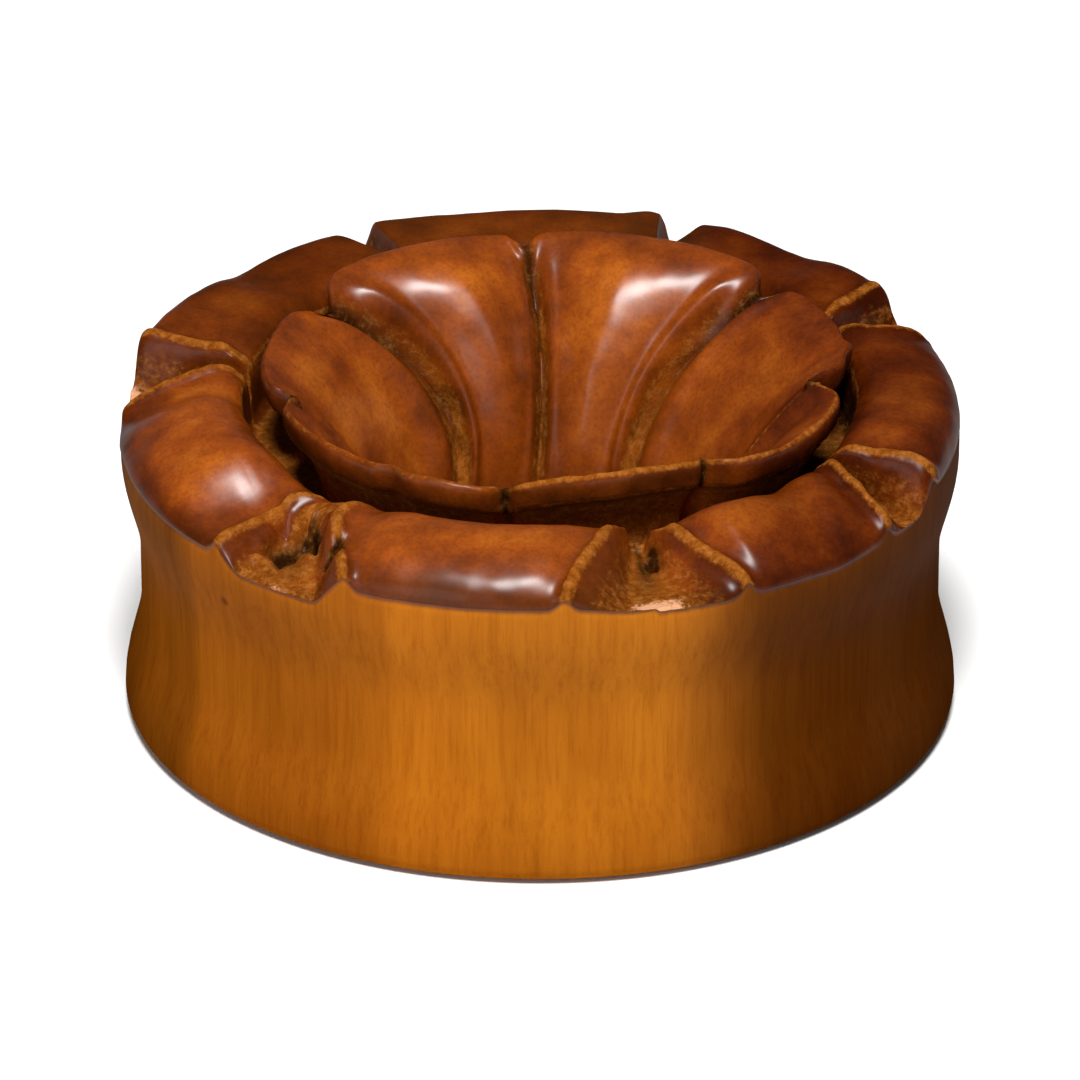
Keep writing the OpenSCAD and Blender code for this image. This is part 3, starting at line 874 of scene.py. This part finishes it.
def carve_plug():
    """The whole plug: the blank carved to its rows, with hand marks and rough wood on top."""
    rows = build_rows()
    plug = roll_blank(len(rows))
    plug.name = "carved_plug"
    column, level = blank_places(plug, len(rows))
    points = np.stack([p for p, _ in rows])[level, column]
    marks = {k: np.stack([m[k] for _, m in rows])[level, column] for k in MARKS}
    mesh = plug.data
    mesh.vertices.foreach_set("co", (points * MM).ravel())
    mesh.update()
    normals = np.zeros(len(points) * 3)
    mesh.vertices.foreach_get("normal", normals)
    normals = normals.reshape(-1, 3)
    hand = sum(height * grit(points, size, seed) for height, size, seed in HAND_MARKS)
    rough = sum(height * grit(points, size, seed) for height, size, seed in ROUGH_MARKS)
    roughness = np.clip(marks["raw"] * RAW_ROUGH + marks["deep"], 0, 1)
    move = marks["carved"] * (hand + rough * roughness)
    points = points + normals * move[:, None]
    mesh.vertices.foreach_set("co", (points * MM).ravel())
    for name, values in marks.items():
        layer = mesh.attributes.new(name, "FLOAT", "POINT")
        layer.data.foreach_set("value", np.clip(values, 0, 1).astype(np.float32))
    mesh.update()
    bpy.ops.object.shade_smooth()
    return plug


class Value:
    """A number in a material's nodes. Its operators add Math nodes."""

    def __init__(self, sheet, socket):
        self.sheet = sheet
        self.socket = socket

    def math(self, operation, *inputs):
        settings = {"operation": operation}
        return self.sheet.add("ShaderNodeMath", settings, dict(enumerate(inputs)))["Value"]

    def __add__(self, other):
        return self.math("ADD", self, other)

    def __sub__(self, other):
        return self.math("SUBTRACT", self, other)

    def __rsub__(self, other):
        return self.math("SUBTRACT", other, self)

    def __mul__(self, other):
        return self.math("MULTIPLY", self, other)

    def __truediv__(self, other):
        return self.math("DIVIDE", self, other)

    def top(self, other):
        return self.math("MAXIMUM", self, other)

    __radd__ = __add__
    __rmul__ = __mul__


class Sheet:
    """The node tree of one material."""

    def __init__(self, name):
        self.material = bpy.data.materials.new(name)
        self.material.use_nodes = True
        self.nodes = self.material.node_tree.nodes
        self.links = self.material.node_tree.links
        self.shader = self.nodes["Principled BSDF"]

    def add(self, kind, settings, inputs):
        """Adds a node and returns its outputs by name. Settings go first, then its sockets."""
        node = self.nodes.new(kind)
        for key, value in settings.items():
            if key == "stops":
                self.set_stops(node.color_ramp, value)
            else:
                setattr(node, key, value)
        for key, value in inputs.items():
            self.feed(node.inputs[key], value)
        return {o.name: Value(self, o) for o in node.outputs if o.enabled}

    def set_stops(self, ramp, stops):
        while len(ramp.elements) < len(stops):
            ramp.elements.new(1)
        for element, (position, colour) in zip(ramp.elements, stops):
            element.position = position
            element.color = (*colour, 1)

    def feed(self, socket, value):
        if isinstance(value, Value):
            self.links.new(value.socket, socket)
        else:
            socket.default_value = value

    def set(self, **sockets):
        for name, value in sockets.items():
            self.feed(self.shader.inputs[name.replace("_", " ")], value)

    def attribute(self, name):
        return self.add("ShaderNodeAttribute", {"attribute_name": name}, {})["Fac"]

    def scaled(self, vector, scale):
        sockets = {"Vector": vector, "Scale": scale}
        return self.add("ShaderNodeMapping", {}, sockets)["Vector"]

    def noise(self, vector, scale, detail, rough):
        sockets = {"Vector": vector, "Scale": scale, "Detail": detail, "Roughness": rough}
        return self.add("ShaderNodeTexNoise", {}, sockets)["Fac"]

    def ramp(self, value, low, high):
        """Value mapped from low..high to 0..1, clamped and smooth."""
        settings = {"interpolation_type": "SMOOTHSTEP"}
        sockets = {"Value": value, "From Min": low, "From Max": high}
        return self.add("ShaderNodeMapRange", settings, sockets)["Result"]

    def colours(self, value, stops):
        return self.add("ShaderNodeValToRGB", {"stops": stops}, {"Fac": value})["Color"]

    def blend(self, factor, a, b, kind="MIX"):
        """Two colours mixed. The node's sockets 0, 6 and 7 are its factor and its colours."""
        a = (*a, 1) if isinstance(a, tuple) else a
        b = (*b, 1) if isinstance(b, tuple) else b
        settings = {"data_type": "RGBA", "blend_type": kind}
        return self.add("ShaderNodeMix", settings, {0: factor, 6: a, 7: b})["Result"]

    def darken(self, colour, factor, tint):
        return self.blend(factor, colour, tint, "MULTIPLY")

    def tint(self, colour, pattern, start, full, share, tint):
        """A colour darkened where a pattern lies above the start."""
        return self.darken(colour, self.ramp(pattern, start, full) * share, tint)

    def ragged(self, mark, pattern, spread, start, full):
        """Where a finish mark shows, with an edge that a pattern makes ragged."""
        return self.ramp(mark + (pattern - NOISE_MIDDLE) * spread, start, full)


def barrel_colour(s, p, z, board, streak, fibre):
    """Turned wood: one board's colours with painted shade, its clouds, streaks and fibres, and the
    pin knot.
    """
    cloud = s.noise(s.scaled(p, CLOUD_STRETCH), *CLOUD_NOISE)
    wood = s.colours(board, BOARD_AND_SHADE_STOPS)
    wood = s.tint(wood, cloud, *CLOUD_TINT)
    wood = s.tint(wood, streak, *STREAK_TINT)
    wood = s.tint(wood, fibre, *FIBRE_TINT)
    foot_share, foot_tint = FOOT_TINT
    wood = s.darken(wood, (1 - s.ramp(z, 0, FOOT_H)) * foot_share, foot_tint)
    away = s.add("ShaderNodeVectorMath", {"operation": "DISTANCE"}, {0: p, 1: PIN_KNOT})["Value"]
    return s.darken(wood, 1 - s.ramp(away, *PIN_KNOT_EDGE), PIN_KNOT_TINT)


def stained_colour(s, p, pores):
    """Stained carving: blotches, painted light in gold on the swells, and painted shade in the
    bowl, at the back, the right and the rim.
    """
    blotch = s.noise(p, *BLOTCH_NOISE)
    worn = (s.attribute("worn") - STAIN_MIDDLE) * STAIN_GLOW
    stain = s.colours(blotch + worn, STAIN_STOPS)
    stain = s.tint(stain, pores, *PORE_TINT)
    bowl_share, bowl_tint = BOWL_SHADE_TINT
    stain = s.darken(stain, s.attribute("bowl") * bowl_share, bowl_tint)
    return s.darken(stain, s.attribute("smoke"), PAINTED_SHADE_TINT)


def wood_material():
    """Oiled, hand-polished carving wood: golden on the barrel, red-brown on the flower, pale
    where the knife left it bare, and dust with painted shade in the crevices. The grain runs along
    Z."""
    s = Sheet("carved_wood")
    object_place = s.add("ShaderNodeTexCoord", {}, {})["Object"]
    p = s.scaled(object_place, (1 / MM, 1 / MM, 1 / MM))
    along = s.scaled(p, GRAIN_STRETCH)
    xyz = s.add("ShaderNodeSeparateXYZ", {}, {"Vector": p})
    warp = s.noise(along, *WARP_NOISE)
    board = (xyz["X"] + (warp - NOISE_MIDDLE) * BOARD_WARP + BOARD_WIDTH / 2) / BOARD_WIDTH
    fibre = s.noise(along, *FIBRE_NOISE)
    streak = s.noise(along, *STREAK_NOISE)
    pores = s.noise(p, *PORE_NOISE)
    rough_edge = s.noise(p, *EDGE_NOISE)
    carved = s.attribute("carved")
    raw = s.attribute("raw")
    deep = s.attribute("deep")

    # Colour: the barrel's wood, the stain, raw wood, dust with painted shade in the crevices, and
    # pale chips with painted light
    base = barrel_colour(s, p, xyz["Z"], board, streak, fibre)
    base = s.blend(carved * STAIN_SHARE, base, stained_colour(s, p, pores))
    bare = s.ragged(raw, rough_edge, *BARE_EDGE)
    base = s.blend(bare * BARE_SHARE, base, s.colours(rough_edge, BARE_STOPS))
    dark = s.ragged(deep, rough_edge, *DUST_AND_SHADE_EDGE)
    base = s.blend(dark * DUST_AND_SHADE_SHARE, base, s.colours(rough_edge, DUST_AND_SHADE_STOPS))
    base = s.tint(base, deep, *DEEPEST_SHADE_TINT)
    chips_and_painted_light = s.ragged(s.attribute("pale"), rough_edge, *CHIP_AND_LIGHT_EDGE)
    s.set(Base_Color=s.blend(chips_and_painted_light, base, PALE_WOOD))

    # Polish: strong on the carving, faint on the barrel, none on raw wood or on the dust and
    # painted shade of the crevices
    matte = bare.top(dark).top(raw)
    rough = ROUGHNESS + (1 - carved) * BARREL_ROUGHNESS + matte * RAW_ROUGHNESS
    s.set(Roughness=rough + (streak - NOISE_MIDDLE) * STREAK_ROUGHNESS)
    shade = s.attribute("bowl").top(s.attribute("smoke"))
    barrel_polish = (1 - carved) * s.ramp(xyz["Z"], *POLISH_HEIGHTS) * BARREL_POLISH
    polish = carved * CARVED_POLISH + barrel_polish
    s.set(Coat_Weight=(1 - matte) * (1 - shade * SHADE_LOSS) * polish)
    s.set(Coat_Roughness=POLISH_ROUGHNESS, Specular_IOR_Level=SPECULAR)

    # Fine relief: fibres on the barrel, pores, and the ragged edges of raw and dark wood
    height = fibre * FIBRE_RELIEF * (1 - carved) + pores * PORE_RELIEF
    height = height + rough_edge * (bare + dark) * EDGE_RELIEF
    sockets = {"Strength": RELIEF_STRENGTH, "Distance": RELIEF_H, "Height": height}
    s.set(Normal=s.add("ShaderNodeBump", {}, sockets)["Normal"])
    return s.material


def floor_material():
    s = Sheet("pale_floor")
    s.set(Base_Color=(*FLOOR_COLOUR, 1), Roughness=FLOOR_ROUGHNESS)
    return s.material


def make_floor():
    bpy.ops.object.select_all(action="DESELECT")
    bpy.ops.mesh.primitive_plane_add(size=FLOOR_SIDE, location=(0, 0, -FLOOR_DROP))
    floor = bpy.context.object
    floor.name = "floor"
    floor.data.materials.append(floor_material())


def area_light(name, azimuth, elevation, distance, size, power):
    """A soft light on the plug from a direction: azimuth 0 is the viewer's side."""
    a, e = math.radians(azimuth), math.radians(elevation)
    way = Vector((math.sin(a) * math.cos(e), -math.cos(a) * math.cos(e), math.sin(e)))
    bpy.ops.object.light_add(type="AREA", location=way * distance + AIM)
    light = bpy.context.object
    light.name = name
    light.data.shape = "DISK"
    light.data.size = size
    light.data.energy = power
    light.rotation_euler = way.to_track_quat("Z", "Y").to_euler()


def make_camera():
    way = Vector((0, -math.cos(ELEVATION), math.sin(ELEVATION)))
    bpy.ops.object.camera_add(location=AIM + way * DISTANCE)
    camera = bpy.context.object
    camera.rotation_euler = way.to_track_quat("Z", "Y").to_euler()
    camera.data.sensor_width = SENSOR
    camera.data.lens = PIXELS_PER_MM * DISTANCE / MM * SENSOR / PHOTO_SIDE
    camera.data.clip_start = CLIP_START
    bpy.context.scene.camera = camera


def light_scene():
    world = bpy.data.worlds.new("studio")
    bpy.context.scene.world = world
    world.use_nodes = True
    sky = world.node_tree.nodes["Background"].inputs
    sky["Color"].default_value = (1, 1, 1, 1)
    sky["Strength"].default_value = SKY
    for light in LIGHTS:
        area_light(*light)
    bpy.context.scene.view_settings.view_transform = "Standard"


make_camera()
plug = carve_plug()
plug.data.materials.append(wood_material())
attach(plug, "root")
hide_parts("ear_plug")
make_floor()
light_scene()
